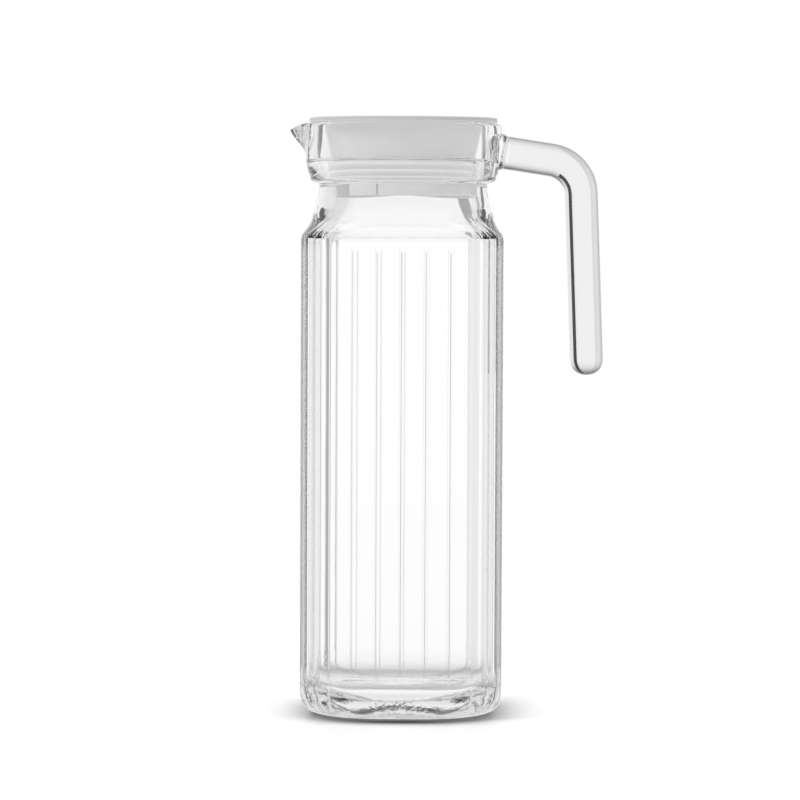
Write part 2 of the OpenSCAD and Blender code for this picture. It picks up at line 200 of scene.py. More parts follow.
def wall_directions():
    """Directions of the body's columns, with those of the two ridges beside each, its place between
    them, whether it lies in a corner, and the half width of the nearer ridge's bead. Facets share
    each side and three chords share each corner, and the outer facets run softly into those."""
    k = HALF_W - CORNER_R
    side = np.arctan2(SIDE_RIDGES, HALF_W)
    corner = np.arctan2(
        k + CORNER_R * np.sin(CORNER_RIDGES), k + CORNER_R * np.cos(CORNER_RIDGES))
    ridges = np.concatenate([side, corner, side[:1] + np.pi / 2])
    parts = []
    for i, (low, high) in enumerate(zip(ridges[:-1], ridges[1:])):
        chord = i >= FACETS
        u = ridge_steps(CHORD_STEPS if chord else FACET_STEPS)
        outer = (u < 0.5) if i == 0 else (u > 0.5) & (i == FACETS - 1)
        bead = np.where(outer, SOFT_BEAD_W, BEAD_W)
        parts.append(np.stack([
            low + (high - low) * u, low + 0 * u, high + 0 * u, u, chord + 0 * u, bead,
        ]))
    quarter = np.concatenate(parts, 1)
    turns = np.arange(4)[:, None] * np.pi / 2
    a, low, high = ((turns + quarter[i]).ravel() for i in range(3))
    return a, low, high, *(np.tile(quarter[i], 4) for i in (3, 4, 5))


def ring_grid(rows, walls, faceted=False):
    """Distance from the axis and height of each column at each row, on the row's rounded square.
    Rows are (half width, corner radius, height). A faceted wall is cut flat between its ridges, by
    the line's polar equation D1 D2 sin(a2 - a1) / (D1 sin(a - a1) + D2 sin(a2 - a)), and hollowed a
    little more: a narrow bead of bell shape stays proud at each ridge, and a shallow parabola runs
    from ridge to ridge. Facets end in arches at the shoulder and fade out on the heel."""
    half, corner, z = (rows[:, i, None] for i in range(3))
    a, low, high, place, chord, bead_w = (w[None, :] for w in walls)
    d = square_reach(half, corner, a)
    z = np.broadcast_to(z, d.shape).copy()
    if not faceted:
        return d, z

    def either(facet, in_corner):
        return np.where(chord > 0, in_corner, facet)

    d1, d2 = square_reach(half, corner, low), square_reach(half, corner, high)
    flat = d1 * d2 * np.sin(high - low) / (d1 * np.sin(a - low) + d2 * np.sin(high - a))
    arch = SIDE_H + ARCH_RISE + CHORD_RISE * chord - ARCH_SAG * (2 * place - 1) ** 2
    shown = eased((arch - z) / (ARCH_FADE + CHORD_RISE * chord))
    shown *= eased((z - either(FACET_START, CHORD_START)) / either(FACET_FADE, CHORD_FADE))
    to_ridge = np.minimum(place, 1 - place) * either(FACET_W, CHORD_W)
    bead = np.exp(-(to_ridge / bead_w) ** 2)
    dish = 4 * place * (1 - place) * either(FACET_DISH, 0.0)
    hollow = (1 - bead) * either(FACET_SUNK, CHORD_SUNK) + dish
    return d + (flat - d - hollow) * shown, z


def parallel(rows, wall):
    """Rows moved into the glass by the wall, along the normal of half width over height. The corner
    radius falls by the wall, and by more towards the sides, where it comes to the cavity's own."""
    dh, dz = np.gradient(rows[:, 0]), np.gradient(rows[:, 2])
    n = np.hypot(dh, dz)
    tighter = (CORNER_R - CAVITY_CORNER - wall) * (rows[:, 0] - NECK_R) / (HALF_W - NECK_R)
    return np.stack([
        rows[:, 0] - wall * dz / n, rows[:, 1] - wall - tighter, rows[:, 2] + wall * dh / n,
    ], 1)


def add_mesh(name, points, faces, material, body=None, node=None):
    """A smooth-shaded mesh from points in millimetres. With a body it is a piece, which stands for
    the node, and otherwise a tool that is joined to a piece or cut from it."""
    mesh = bpy.data.meshes.new(name)
    mesh.from_pydata((np.asarray(points) * MM).tolist(), [], faces)
    mesh.update()
    mesh.shade_smooth()
    mesh.set_sharp_from_angle(angle=CRISP)
    mesh.materials.append(material)
    piece = bpy.data.objects.new(name, mesh)
    bpy.context.scene.collection.objects.link(piece)
    if body:
        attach(piece, body)
        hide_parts(node)
    return piece


def grid_faces(rows, columns, closed_rows=False):
    """Quads of a grid whose columns close on themselves, wound to face left of the rows."""
    i = np.arange(rows if closed_rows else rows - 1)[:, None]
    j = np.arange(columns)[None, :]
    n, m = (i + 1) % rows, (j + 1) % columns
    quads = np.stack([i * columns + j, i * columns + m, n * columns + m, n * columns + j], -1)
    return quads.reshape(-1, 4).tolist()


def closed_by_poles(grid):
    """Points and faces of a grid of rings whose first and last rings close on a point at their
    middle."""
    rows, columns = grid.shape[:2]
    points = np.concatenate([grid.reshape(-1, 3), grid[0].mean(0)[None], grid[-1].mean(0)[None]])
    j = np.arange(columns)
    m = (j + 1) % columns
    first, last = rows * columns, rows * columns + 1
    caps = np.stack([np.full(columns, first), m, j], -1).tolist()
    end = (rows - 1) * columns
    caps += np.stack([np.full(columns, last), end + j, end + m], -1).tolist()
    return points, grid_faces(rows, columns) + caps


def turned(profile, columns=144):
    """Grid of a profile of (radius, height) rows turned round the axis."""
    a = np.linspace(0, 2 * np.pi, columns, endpoint=False)
    r, z = profile[:, 0, None], profile[:, 1, None]
    return np.stack([r * np.cos(a), r * np.sin(a), np.broadcast_to(z, (len(profile), columns))], -1)


def rounded(profile, radius, steps=5):
    """The profile with each inner corner replaced by an arc that touches both sides: the arc starts
    and ends radius over the tangent of half the corner's angle away from the corner, or 45% along
    the shorter side. A corner's own radius, if it has one, is its third number."""
    p = np.array([q[:2] for q in profile], float)
    radii = [q[2] if len(q) > 2 else radius for q in profile]
    out = [p[:1]]
    for before, here, after, r in zip(p[:-2], p[1:-1], p[2:], radii[1:-1]):
        u, v = before - here, after - here
        lu, lv = np.linalg.norm(u), np.linalg.norm(v)
        u, v = u / lu, v / lv
        half = 0.5 * np.arccos(np.clip(u @ v, -1, 1))
        nearly_straight = half > 1.5
        if r <= 0 or nearly_straight:
            out.append(here[None])
            continue
        cut = min(r / np.tan(half), 0.45 * lu, 0.45 * lv)
        r = cut * np.tan(half)
        middle = here + (u + v) / np.linalg.norm(u + v) * r / np.sin(half)
        s, e = here + u * cut - middle, here + v * cut - middle
        t = np.linspace(0, 1, steps)[:, None]
        w = np.arccos(np.clip(s @ e / (r * r), -1, 1))
        out.append(middle + (np.sin((1 - t) * w) * s + np.sin(t * w) * e) / np.sin(w))
    return np.concatenate(out + [p[-1:]])


def combine(piece, other, operation):
    """Joins or cuts piece with other by exact solid operations, and drops other."""
    tool = piece.modifiers.new(operation, "BOOLEAN")
    tool.operation, tool.object, tool.solver = operation, other, "EXACT"
    graph = bpy.context.evaluated_depsgraph_get()
    result = bpy.data.meshes.new_from_object(piece.evaluated_get(graph), depsgraph=graph)
    piece.modifiers.clear()
    old, piece.data = piece.data, result
    bpy.data.meshes.remove(old)
    bpy.data.objects.remove(other)


def smooth_after_cuts(piece):
    """Smooth shading again, with the edges that the solid operations left kept crisp."""
    piece.data.shade_smooth()
    piece.data.set_sharp_from_angle(angle=CRISP_AFTER_CUT)


def heel_corner(z):
    """Corner radius of the outside near the foot: it falls with the square of the way up."""
    t = np.clip(1 - z / HEEL_CORNER_H, 0, 1)
    return CORNER_R + (FOOT_CORNER - CORNER_R) * t * t


def lip_flank(reach, back, half_angle, a, tip):
    """Distance from the axis to the straight flanks of a lip in direction a, by the law of sines in
    the triangle of the axis, the tip and a point on the circle back at half_angle. The crease at
    the tip is rounded by putting the root of the squared angle plus tip squared in the angle's
    place. Well away from the lip the distance is 0."""
    least_depth, widest, nearly_flat = 0.3, 1.6, 3.0
    away = np.abs(a % (2 * np.pi) - np.pi)
    soft = np.sqrt(away**2 + tip**2)
    depth = np.maximum(reach - back * np.cos(half_angle), least_depth)
    side = np.arctan2(back * np.sin(half_angle), depth)
    d = reach * np.sin(side + tip) / np.sin(np.minimum(side + soft, nearly_flat))
    return np.where(away < half_angle * widest, d, 0.0)


def round_rows(profile, a):
    """Distances and heights of a turned profile in every direction."""
    d = np.broadcast_to(profile[:, 0, None], (len(profile), len(a))).copy()
    return d, np.broadcast_to(profile[:, 1, None], d.shape).copy()


def collar_outside():
    """Turned profile of the neck, the collar's foot, its swell and the rim, whose rows are last,
    and how many rows the rim has."""
    neck = [[NECK_R, NECK_Z + 1.2], [NECK_R, COLLAR_Z - 0.5], [NECK_R + 0.25, COLLAR_Z - 0.1]]
    under = [[37.2, COLLAR_Z + 0.1]]
    foot_round = 1.5
    foot = arc(COLLAR_FOOT_R - foot_round, COLLAR_Z + 0.5 + foot_round, foot_round, -78, 0, 7)
    swell = along(COLLAR_SWELL, 19)[1:]
    rim = arc(COLLAR_R - RIM_ROUND, RIM_Z - RIM_ROUND, RIM_ROUND, 0, 90, 9)[1:]
    return np.concatenate([neck, under, foot, swell, rim]), len(rim)


def collar_inside():
    """Turned profile of the rim's inner edge, whose rows are first, the mouth, the ledge and the
    bore, and how many rows the rim's edge has."""
    rim = arc(MOUTH_R + MOUTH_ROUND, RIM_Z - MOUTH_ROUND, MOUTH_ROUND, 90, 180, 6)
    mouth = np.stack([np.full(9, MOUTH_R), np.linspace(RIM_Z - 2, LEDGE_Z + 0.5, 9)], 1)
    ledge = np.concatenate([
        arc(MOUTH_R - LEDGE_ROUND, LEDGE_Z + LEDGE_ROUND, LEDGE_ROUND, 0, -90, 5),
        arc(BORE_R + LEDGE_ROUND, LEDGE_Z - LEDGE_ROUND, LEDGE_ROUND, 90, 180, 5),
    ])
    bore = np.stack([np.full(4, BORE_R), np.linspace(LEDGE_Z - 3, NECK_Z + 0.6, 4)], 1)
    return np.concatenate([rim, mouth, ledge, bore]), len(rim)


def collar_and_mouth(a):
    """Collar and mouth with the lip drawn out of both. The lip's outside and channel lean out to
    its tip, and the rim falls with the square of the lip's share of its reach. Below it, rows are
    moved down in proportion, and the rim's roundings shrink where the glass is thin."""
    outside, rim_rows = collar_outside()
    inside, edge_rows = collar_inside()
    d_out, z_out = round_rows(outside, a)
    d_in, z_in = round_rows(inside, a)

    flank = lip_flank(LIP_REACH, LIP_ROOT_R, LIP_HALF, a, LIP_CREASE)
    top_out = smooth_max(flank, COLLAR_R, 0.3)
    flank = lip_flank(CHANNEL_OUT[-1], BORE_R, CHANNEL_HALF, a, CHANNEL_CREASE)
    top_in = np.maximum(smooth_max(flank, MOUTH_R, 0.3), MOUTH_R)
    share = np.clip((top_out - COLLAR_R) / (LIP_REACH - COLLAR_R), 0, 1)
    drop = LIP_DROP * share**2
    thick = top_out - top_in
    round_out, round_in = np.minimum(RIM_ROUND, 0.5 * thick), np.minimum(MOUTH_ROUND, 0.46 * thick)

    angle = np.radians(np.linspace(0, 90, rim_rows + 1)[1:])[:, None]
    start = len(z_out) - rim_rows
    d_out[start:] = top_out - round_out * (1 - np.cos(angle))
    z_out[start:] = RIM_Z - drop - round_out * (1 - np.sin(angle))
    low = z_out[:start]
    way_up = np.clip((low - LEDGE_Z) / (RIM_Z - RIM_ROUND - LEDGE_Z), 0, 1)
    low += way_up * (RIM_ROUND - round_out - drop)
    flank = lip_flank(np.interp(low, LIP_Z, LIP_OUT), LIP_ROOT_R, LIP_HALF, a[None, :], LIP_CREASE)
    in_lip = (low > LIP_START_Z) & (flank > 0)
    d_out[:start] = np.where(in_lip, smooth_max(flank, d_out[:start], 0.5), d_out[:start])

    angle = np.radians(np.linspace(90, 180, edge_rows))[:, None]
    d_in[:edge_rows] = top_in + round_in * (1 + np.cos(angle))
    z_in[:edge_rows] = RIM_Z - drop - round_in * (1 - np.sin(angle))
    low = z_in[edge_rows:]
    low -= np.clip((low - LEDGE_Z) / (RIM_Z - 2 - LEDGE_Z), 0, 1) * drop
    below = CHANNEL_FOOT - (LIP_Z[0] - low) * CHANNEL_SLOPE
    reach = np.where(low < LIP_Z[0], below, np.interp(low, LIP_Z, CHANNEL_OUT))
    flank = lip_flank(reach, BORE_R, CHANNEL_HALF, a[None, :], CHANNEL_CREASE)
    in_lip = (low > LEDGE_Z + 0.2) & (flank > 0)
    d_in[edge_rows:] = np.where(in_lip, smooth_max(flank, d_in[edge_rows:], 0.3), d_in[edge_rows:])
    return np.concatenate([d_out, d_in]), np.concatenate([z_out, z_in])


def outside_rows():
    """Rows of the outside from the middle of the foot to the neck: a hollow under the foot that
    falls off with the square of the radius, the foot's land, a heel on a quarter of an ellipse,
    the sides and the shoulder. Gives the sides and the shoulder again by themselves."""
    rho = np.array([0.04, 0.25, 0.5, 0.75, 0.93, 1.0])
    punt = np.stack([PUNT_R * rho, PUNT_R * rho, PUNT_D * (1 - rho**2)], 1)
    foot = np.array([[-5, 26.4, 0], [-1.4, 26.2, 0], [-0.7, 26.5, 0.06], [-0.2, 26.8, 0.3]])
    foot[:, 0] += FOOT_HALF
    t = np.linspace(0.06, 1, 14) * np.pi / 2
    z = 0.2 + (HEEL_H - 0.2) * (1 - np.cos(t))
    heel = np.stack([FOOT_HALF + HEEL_W * np.sin(t), heel_corner(z), z], 1)
    z = np.concatenate([
        np.linspace(10.3, 20, 8), np.linspace(30, SIDE_H - 12, 6), [SIDE_H - 5.5, SIDE_H - 4],
    ])
    sides = np.stack([z * 0 + HALF_W, heel_corner(z), z], 1)
    half = HALF_W + (NECK_R - HALF_W) * SHOULDER_FALL[:, 1]
    corner = CORNER_R + (half - CORNER_R) * np.minimum(SHOULDER_FALL[:, 2], NEARLY_ROUND)
    keys = np.stack([half, corner, SIDE_H + SHOULDER_H * SHOULDER_FALL[:, 0]], 1)
    shoulder = along(keys, 30)
    return np.concatenate([punt, foot, heel, sides, shoulder]), sides, shoulder


def inside_rows(sides, shoulder):
    """Rows of the inside from the neck to the middle of the floor: a shoulder parallel to the
    outside's, the sides, a rounding in which the corners grow to nearly a full circle, and the
    floor."""
    upper = parallel(np.concatenate([sides[-1:], shoulder]), NECK_R - BORE_R)[::-1]
    z = np.linspace(SIDE_H - 12, BASE_T + CAVITY_H + 1, 7)
    middle = np.stack([z * 0 + CAVITY_HALF, z * 0 + CAVITY_CORNER, z], 1)
    t = np.linspace(0, np.pi / 2, 18)
    half = CAVITY_HALF - CAVITY_ROUND * (1 - np.cos(t))
    corner = CAVITY_CORNER + (half * NEARLY_ROUND - CAVITY_CORNER) * np.sin(t) ** 2
    bottom = np.stack([half, corner, BASE_T + CAVITY_H * (1 - np.sin(t) ** (2 / 3))], 1)
    reach = half[-1] * np.linspace(0.88, 0.04, 8)
    floor = np.stack([reach, reach, BASE_T + 0 * reach], 1)
    return np.concatenate([upper, middle, bottom, floor])


def make_pitcher(glass):
    """The whole glass on one grid. Each column is a direction; its rows run from the middle of the
    foot outwards, up the outside, over the rim, down the inside and in along the floor, whose top
    is wavy by half a millimetre: one wave round the axis, and one out from it."""
    walls = wall_directions()
    a = walls[0]
    rows, sides, shoulder = outside_rows()
    outside = ring_grid(rows, walls, True)
    upper = collar_and_mouth(a)
    d_end, z_end = ring_grid(inside_rows(sides, shoulder), walls)
    low = eased((BASE_T + 3 - z_end) / 3)
    round_axis = 0.5 * np.cos(2 * a + 0.6) * (d_end / CAVITY_HALF)
    z_end += low * (round_axis + 0.35 * np.cos(d_end / 3.7))

    d = np.concatenate([outside[0], upper[0], d_end])
    z = np.concatenate([outside[1], upper[1], z_end])
    points, faces = closed_by_poles(np.stack([d * np.cos(a), d * np.sin(a), z], -1))
    body = add_mesh("pitcher_glass", points, faces, glass, "jug", "jug_glass")
    combine(body, make_handle(glass), "UNION")
    smooth_after_cuts(body)


def bar_section(t, b):
    """Outline of the handle: a rectangle t thick and b broad, with larger corners on the finger
    side, which shrink where the section is thin."""
    f, k = np.minimum(FINGER_ROUND, t * 0.48), np.minimum(BACK_ROUND, t * 0.48)
    steps = 9
    return np.concatenate([
        arc(t / 2 - f, b / 2 - f, f, 0, 90, steps),
        arc(k - t / 2, b / 2 - k, k, 90, 180, steps),
        arc(k - t / 2, k - b / 2, k, 180, 270, steps),
        arc(t / 2 - f, f - b / 2, f, 270, 360, steps),
    ])


def handle_bend():
    """Middle of the handle's bend, and the directions of its steps from upright."""
    x = HANDLE_REACH - BEND_TANGENT * math.cos(ARM_SLOPE) - BEND_R * math.sin(ARM_SLOPE)
    z = RIM_Z - HANDLE_DROP + BEND_TANGENT * math.sin(ARM_SLOPE) - BEND_R * math.cos(ARM_SLOPE)
    return x, z, np.linspace(ARM_SLOPE, ARM_SLOPE + BEND_TURN, 28)


def make_handle(glass):
    """The handle: its section carried down a sloping arm, round a bend and down the grip. Over the
    collar it grows by a falling exponential of the distance, and the lower end shrinks on a
    circle."""
    cross_z = RIM_Z - HANDLE_DROP
    arm_l = (HANDLE_REACH - LIP_ROOT_R) / math.cos(ARM_SLOPE)
    rings = []

    def place(x, z, a, t, b):
        s = bar_section(t, b)
        rings.append(np.stack([x - s[:, 0] * math.sin(a), s[:, 1], z - s[:, 0] * math.cos(a)], 1))

    near_collar, arm_end = np.linspace(0, 7, 22), arm_l - BEND_TANGENT - 0.5
    for d in np.concatenate([near_collar, np.linspace(8, arm_end, 8)]):
        past = max(0.0, d - (COLLAR_R - LIP_ROOT_R))
        grow = 1 + 0.09 * math.exp(-past / 0.8)
        place(HANDLE_REACH - (arm_l - d) * math.cos(ARM_SLOPE),
              cross_z + (arm_l - d) * math.sin(ARM_SLOPE),
              ARM_SLOPE, HANDLE_T * grow, HANDLE_B * grow)

    bend_x, bend_z, turns = handle_bend()
    for a in turns:
        place(bend_x + BEND_R * math.sin(a), bend_z + BEND_R * math.cos(a), a, HANDLE_T, HANDLE_B)

    grip_a = ARM_SLOPE + BEND_TURN
    straight_end = GRIP_L - HANDLE_T / 2
    for d in np.linspace(BEND_TANGENT + 2, straight_end - 2, 12):
        place(HANDLE_REACH + d * math.cos(grip_a), cross_z - d * math.sin(grip_a),
              grip_a, HANDLE_T, HANDLE_B)
    for t in np.radians(np.linspace(0, 88, 16)):
        d = straight_end + HANDLE_T / 2 * math.sin(t)
        place(HANDLE_REACH + d * math.cos(grip_a), cross_z - d * math.sin(grip_a), grip_a,
              HANDLE_T * math.cos(t) ** 0.8, HANDLE_B - 2 * FINGER_ROUND * (1 - math.cos(t)))
    points, faces = closed_by_poles(np.stack(rings))
    return add_mesh("handle_tool", points, faces, glass)


def lid_profile():
    """Half section of the lid from the middle of its underside round to the middle of the dish, as
    (radius, height, rounding)."""
    floor_z = LEDGE_Z + LID_WALL
    plug_in, skirt_in, dish_in = PLUG_R - LID_WALL, SKIRT_R - LID_WALL, DISH_R - LID_WALL
    underside = [
        (0, LEDGE_Z), (plug_in, LEDGE_Z, 0.8), (plug_in, GROOVE_Z - LID_WALL / 2, 0.6),
        (skirt_in, GROOVE_Z - LID_WALL, 0.6), (skirt_in, SKIRT_Z, 0.4),
    ]
    outside = [
        (SKIRT_R, SKIRT_Z, 0.5), (SKIRT_R, GROOVE_Z, 0.4), (PLUG_R, GROOVE_Z, 0.2),
        (PLUG_R, LEDGE_Z, 0.2), (DISH_FOOT_R, LEDGE_Z, 0.5), (DISH_R, FLANGE_Z, 0.6),
        (FLANGE_R, FLANGE_Z, 0.5), (FLANGE_R, LID_TOP, 1.0),
    ]
    dish = [
        (dish_in + 0.5, LID_TOP, 0.9), (dish_in, FLANGE_Z, 0.8),
        (DISH_FOOT_R - LID_WALL, floor_z + LID_WALL / 2, 1.6),
        (DISH_FOOT_R - 2 * LID_WALL, floor_z, 1.6), (0, floor_z),
    ]
    profile = rounded(underside + outside + dish, 0.5)
    profile[0, 0] = profile[-1, 0] = 0.3
    return profile


def skirt_cutter(outline, plastic):
    """A prism over the outline, from under the skirt to the top of its openings."""
    levels = (SKIRT_Z - 2, WINDOW_TOP)
    grid = np.stack([np.c_[outline, np.full(len(outline), z)] for z in levels])
    points, faces = closed_by_poles(grid)
    return add_mesh("cut", points, faces, plastic)


def finger_bar(plastic):
    """The bar across the dish: a slab with a rounded top, turned with the window, whose ends follow
    the slope of the dish and stay in its wall."""
    foot, top = LEDGE_Z + 0.4, LID_TOP - 0.4
    half = rounded([(0, foot), (BAR_T / 2, foot, 0), (BAR_T / 2 - 0.2, top, 1.2), (0, top)], 1)
    y = np.concatenate([half[:, 0], -half[::-1, 0][1:-1]])
    z = np.concatenate([half[:, 1], half[::-1, 1][1:-1]])
    way_up = (z - LEDGE_Z) / (LID_TOP - LEDGE_Z)
    reach = DISH_FOOT_R - LID_WALL / 2 + (DISH_R - DISH_FOOT_R) * way_up - 0.3
    x = np.linspace(-1, 1, 41)[:, None] * reach
    y, z = np.broadcast_to(y, x.shape), np.broadcast_to(z, x.shape)
    c, s = math.cos(LID_TURN), math.sin(LID_TURN)
    points, faces = closed_by_poles(np.stack([x * c - y * s, x * s + y * c, z], -1))
    return add_mesh("bar", points, faces, plastic)


def make_lid(plastic):
    """The lid: one turned profile with rounded edges, a wedge-shaped window and two slits cut from
    its skirt, and a bar across its dish."""
    points, faces = closed_by_poles(turned(lid_profile()))
    lid = add_mesh("lid_moulding", points, faces, plastic, "lid", "lid")
    middle = math.pi + LID_TURN
    inner_r, outer_r = 26, 36
    edge = middle + np.linspace(-WINDOW_HALF, WINDOW_HALF, 9)
    rim = outer_r * np.stack([np.cos(edge), np.sin(edge)], 1)
    combine(lid, skirt_cutter(np.concatenate([[[0, 0]], rim]), plastic), "DIFFERENCE")
    for side in (-1, 1):
        at = middle + side * (WINDOW_HALF + TAB_ANGLE)
        out = np.array([math.cos(at), math.sin(at)])
        half_slit = np.array([-math.sin(at), math.cos(at)]) * TAB_SLIT / 2
        slit = np.array([
            inner_r * out - half_slit, outer_r * out - half_slit,
            outer_r * out + half_slit, inner_r * out + half_slit,
        ])
        combine(lid, skirt_cutter(slit, plastic), "DIFFERENCE")
    combine(lid, finger_bar(plastic), "UNION")
    smooth_after_cuts(lid)


def make_seal(rubber):
    """The seal: a band with three lips that thin out towards the bore, turned round the axis."""
    inner, band = PLUG_R + TURN_GAP, PLUG_R + TURN_GAP + SEAL_T
    outline = [(inner, SEAL_FOOT + 1), (inner, SEAL_FOOT, 0.3), (band, SEAL_FOOT, 0.3)]
    for share in (0.1, 0.46, 0.82):
        z = SEAL_FOOT + (SEAL_TOP - SEAL_FOOT) * share
        outline += [
            (band, z - SEAL_LIP_T, 0.15), (SEAL_R, z, 0.2),
            (SEAL_R, z + SEAL_LIP_T, 0.3), (band, z + SEAL_LIP_T, 0.15),
        ]
    outline += [(band, SEAL_TOP, 0.3), (inner, SEAL_TOP, 0.3), (inner, SEAL_FOOT + 2)]
    grid = turned(rounded(outline, 0.2))
    faces = grid_faces(*grid.shape[:2], closed_rows=True)
    add_mesh("seal_ring_lips", grid.reshape(-1, 3), faces, rubber, "seal", "seal_ring")


class Value:
    """A socket of a shader, on which sums and products of numbers can be written."""

    def __init__(self, shade, socket):
        self.shade, self.socket = shade, socket

    def _math(self, operation, *others):
        return self.shade("ShaderNodeMath", {"operation": operation}, dict(enumerate(others)))

    def __add__(self, other):
        return self._math("ADD", self, other)

    def __radd__(self, other):
        return self._math("ADD", other, self)

    def __sub__(self, other):
        return self._math("SUBTRACT", self, other)

    def __rsub__(self, other):
        return self._math("SUBTRACT", other, self)

    def __mul__(self, other):
        return self._math("MULTIPLY", self, other)

    def __rmul__(self, other):
        return self._math("MULTIPLY", other, self)

    def __truediv__(self, other):
        return self._math("DIVIDE", self, other)

    def __pow__(self, other):
        return self._math("POWER", self, other)

    def __gt__(self, other):
        return self._math("GREATER_THAN", self, other)

    def size(self):
        """The number without its sign."""
        return self._math("ABSOLUTE", self)

    def exponential(self):
        return self._math("EXPONENT", self)

    def limited(self):
        """The number kept between 0 and 1."""
        return self.shade("ShaderNodeClamp", {}, {"Value": self, "Min": 0.0, "Max": 1.0})

    def rise(self, start, length):
        """0 up to start and 1 past start plus length, on a straight line between them. With a
        negative length it is 0 above start and 1 below start plus length."""
        return ((self - start) / length).limited()


class Shade:
    """Writes the nodes of one material or world. A call makes a node and gives back its output."""

    def __init__(self, tree):
        self.tree = tree
        tree.nodes.clear()

    def node(self, kind, settings=None, inputs=None):
        """A node of the kind, with its settings and then the values or links of its sockets."""
        made = self.tree.nodes.new(kind)
        for key, value in (settings or {}).items():
            setattr(made, key, value)
        for key, value in (inputs or {}).items():
            if isinstance(value, Value):
                self.tree.links.new(value.socket, made.inputs[key])
            else:
                made.inputs[key].default_value = value
        return made

    def __call__(self, kind, settings=None, inputs=None, output=0):
        return Value(self, self.node(kind, settings, inputs).outputs[output])

    def place(self):
        """Object coordinates, in metres."""
        return self("ShaderNodeTexCoord", output=3)

    def parts(self, vector):
        """The three numbers of a vector."""
        split = self.node("ShaderNodeSeparateXYZ", {}, {0: vector})
        return [Value(self, socket) for socket in split.outputs]

    def rays(self, *names):
        """The named outputs of Light Path."""
        path = self.node("ShaderNodeLightPath")
        return [Value(self, path.outputs[name]) for name in names]

    def noise(self, place, scale, detail):
        return self("ShaderNodeTexNoise", {}, {"Vector": place, "Scale": scale, "Detail": detail})

    def between(self, share, first, second):
        """The colour that lies the share of the way from the first to the second."""
        inputs = {0: share, 6: first, 7: second}
        return self("ShaderNodeMix", {"data_type": "RGBA"}, inputs, output=2)

    def ramp(self, place, stops):
        """Grey that runs through the stops, each a (place, level)."""
        made = self.node("ShaderNodeValToRGB", {}, {0: place})
        elements = made.color_ramp.elements
        while len(elements) < len(stops):
            elements.new(0.5)
        for element, (at, level) in zip(elements, stops):
            element.position, element.color = at, grey(level)
        return Value(self, made.outputs[0])

    def mixed(self, share, first, second):
        return self("ShaderNodeMixShader", {}, {0: share, 1: first, 2: second})

    def diffuse(self, level):
        return self("ShaderNodeBsdfDiffuse", {}, {"Color": grey(level)})

    def finish(self, surface, volume=None):
        """Links the surface, and the volume if there is one, to a material's output."""
        links = {"Surface": surface}
        if volume:
            links["Volume"] = volume
        self.node("ShaderNodeOutputMaterial", {}, links)


def grey(level):
    return level, level, level, 1


def new_material(name):
    made = bpy.data.materials.new(name)
    made.use_nodes = True
    return made, Shade(made.node_tree)


def clear_glass():
    """Clear pressed glass: a faint slow waviness bends what shows through it, and its heel is
    finely stippled. Its handle, shoulder, neck and heel are darkened a little in its colour:
    painted shade, for the grey that bent light shows there. Light for matt things goes straight
    through it, less so near the foot."""
    material, shade = new_material("clear_pressed_glass")
    place = shade.place()
    across, _, height = shade.parts(place)
    heel_top, handle_x, sides_top, neck_foot, neck_top = 0.024, 0.0425, 0.199, 0.210, 0.2235
    slow, fine = shade.noise(place, 45.0, 1.0), shade.noise(place, 260.0, 2.0)
    stipple = shade.noise(place, 650.0, 1.0)
    heel = height.rise(heel_top, -0.012)
    bump = shade("ShaderNodeBump", {}, {
        "Strength": 0.10, "Distance": 0.0006, "Height": slow + fine * 0.03 + heel * stipple * 1.2,
    })
    # painted shade: handle, shoulder, neck and heel are darkened in the glass's colour
    handle = across.rise(handle_x, 0.003)
    above = height.rise(neck_top, 0.001)
    shoulder = height.rise(sides_top, 0.003) - above
    neck = height.rise(neck_foot, 0.008) - above
    painted_body_shade = (1.0 - handle) * (shoulder * 0.018 + neck * 0.03)
    glass = shade("ShaderNodeBsdfPrincipled", {}, {
        "Base Color": 1.0 - handle * 0.12 - painted_body_shade - heel * 0.02, "Roughness": heel * 0.04,
        "IOR": 1.51, "Transmission Weight": 1.0, "Normal": bump,
    })
    clear = shade("ShaderNodeBsdfTransparent", {}, {"Color": grey(0.985)})
    dim = shade("ShaderNodeBsdfTransparent", {}, {"Color": grey(0.15)})
    straight = shade.mixed(height.rise(0.022, -0.022), clear, dim)
    shadow, diffuse = shade.rays("Is Shadow Ray", "Is Diffuse Ray")
    depth = shade("ShaderNodeVolumeAbsorption", {}, {"Color": grey(0), "Density": 1.6})
    shade.finish(shade.mixed((shadow + diffuse).limited(), glass, straight), depth)
    return material


def white_plastic():
    """Translucent white moulding with a faint mottle and an orange-peel skin. Its flange, which
    stands clear of the glass and so is lit more, is painted greyer as shade."""
    material, shade = new_material("translucent_white_moulding")
    place = shade.place()
    height = shade.parts(place)[2]
    pale = shade.between(shade.noise(place, 60.0, 2.0), grey(0.63), grey(0.69))
    # painted shade: above this height the moulding's colour is greyer, where it is lit more
    flange = height.rise((FLANGE_Z + 0.2) * MM, 0.4 * MM)
    skin = shade.noise(place, 900.0, 2.0)
    bump = shade("ShaderNodeBump", {}, {"Strength": 0.15, "Distance": 0.0001, "Height": skin})
    shade.finish(shade("ShaderNodeBsdfPrincipled", {}, {
        "Base Color": shade.between(flange, pale, grey(0.47)), "Roughness": 0.42, "IOR": 1.49,
        "Subsurface Weight": 0.5, "Subsurface Scale": 0.004, "Subsurface Radius": (1, 1, 1),
        "Normal": bump,
    }))
    return material


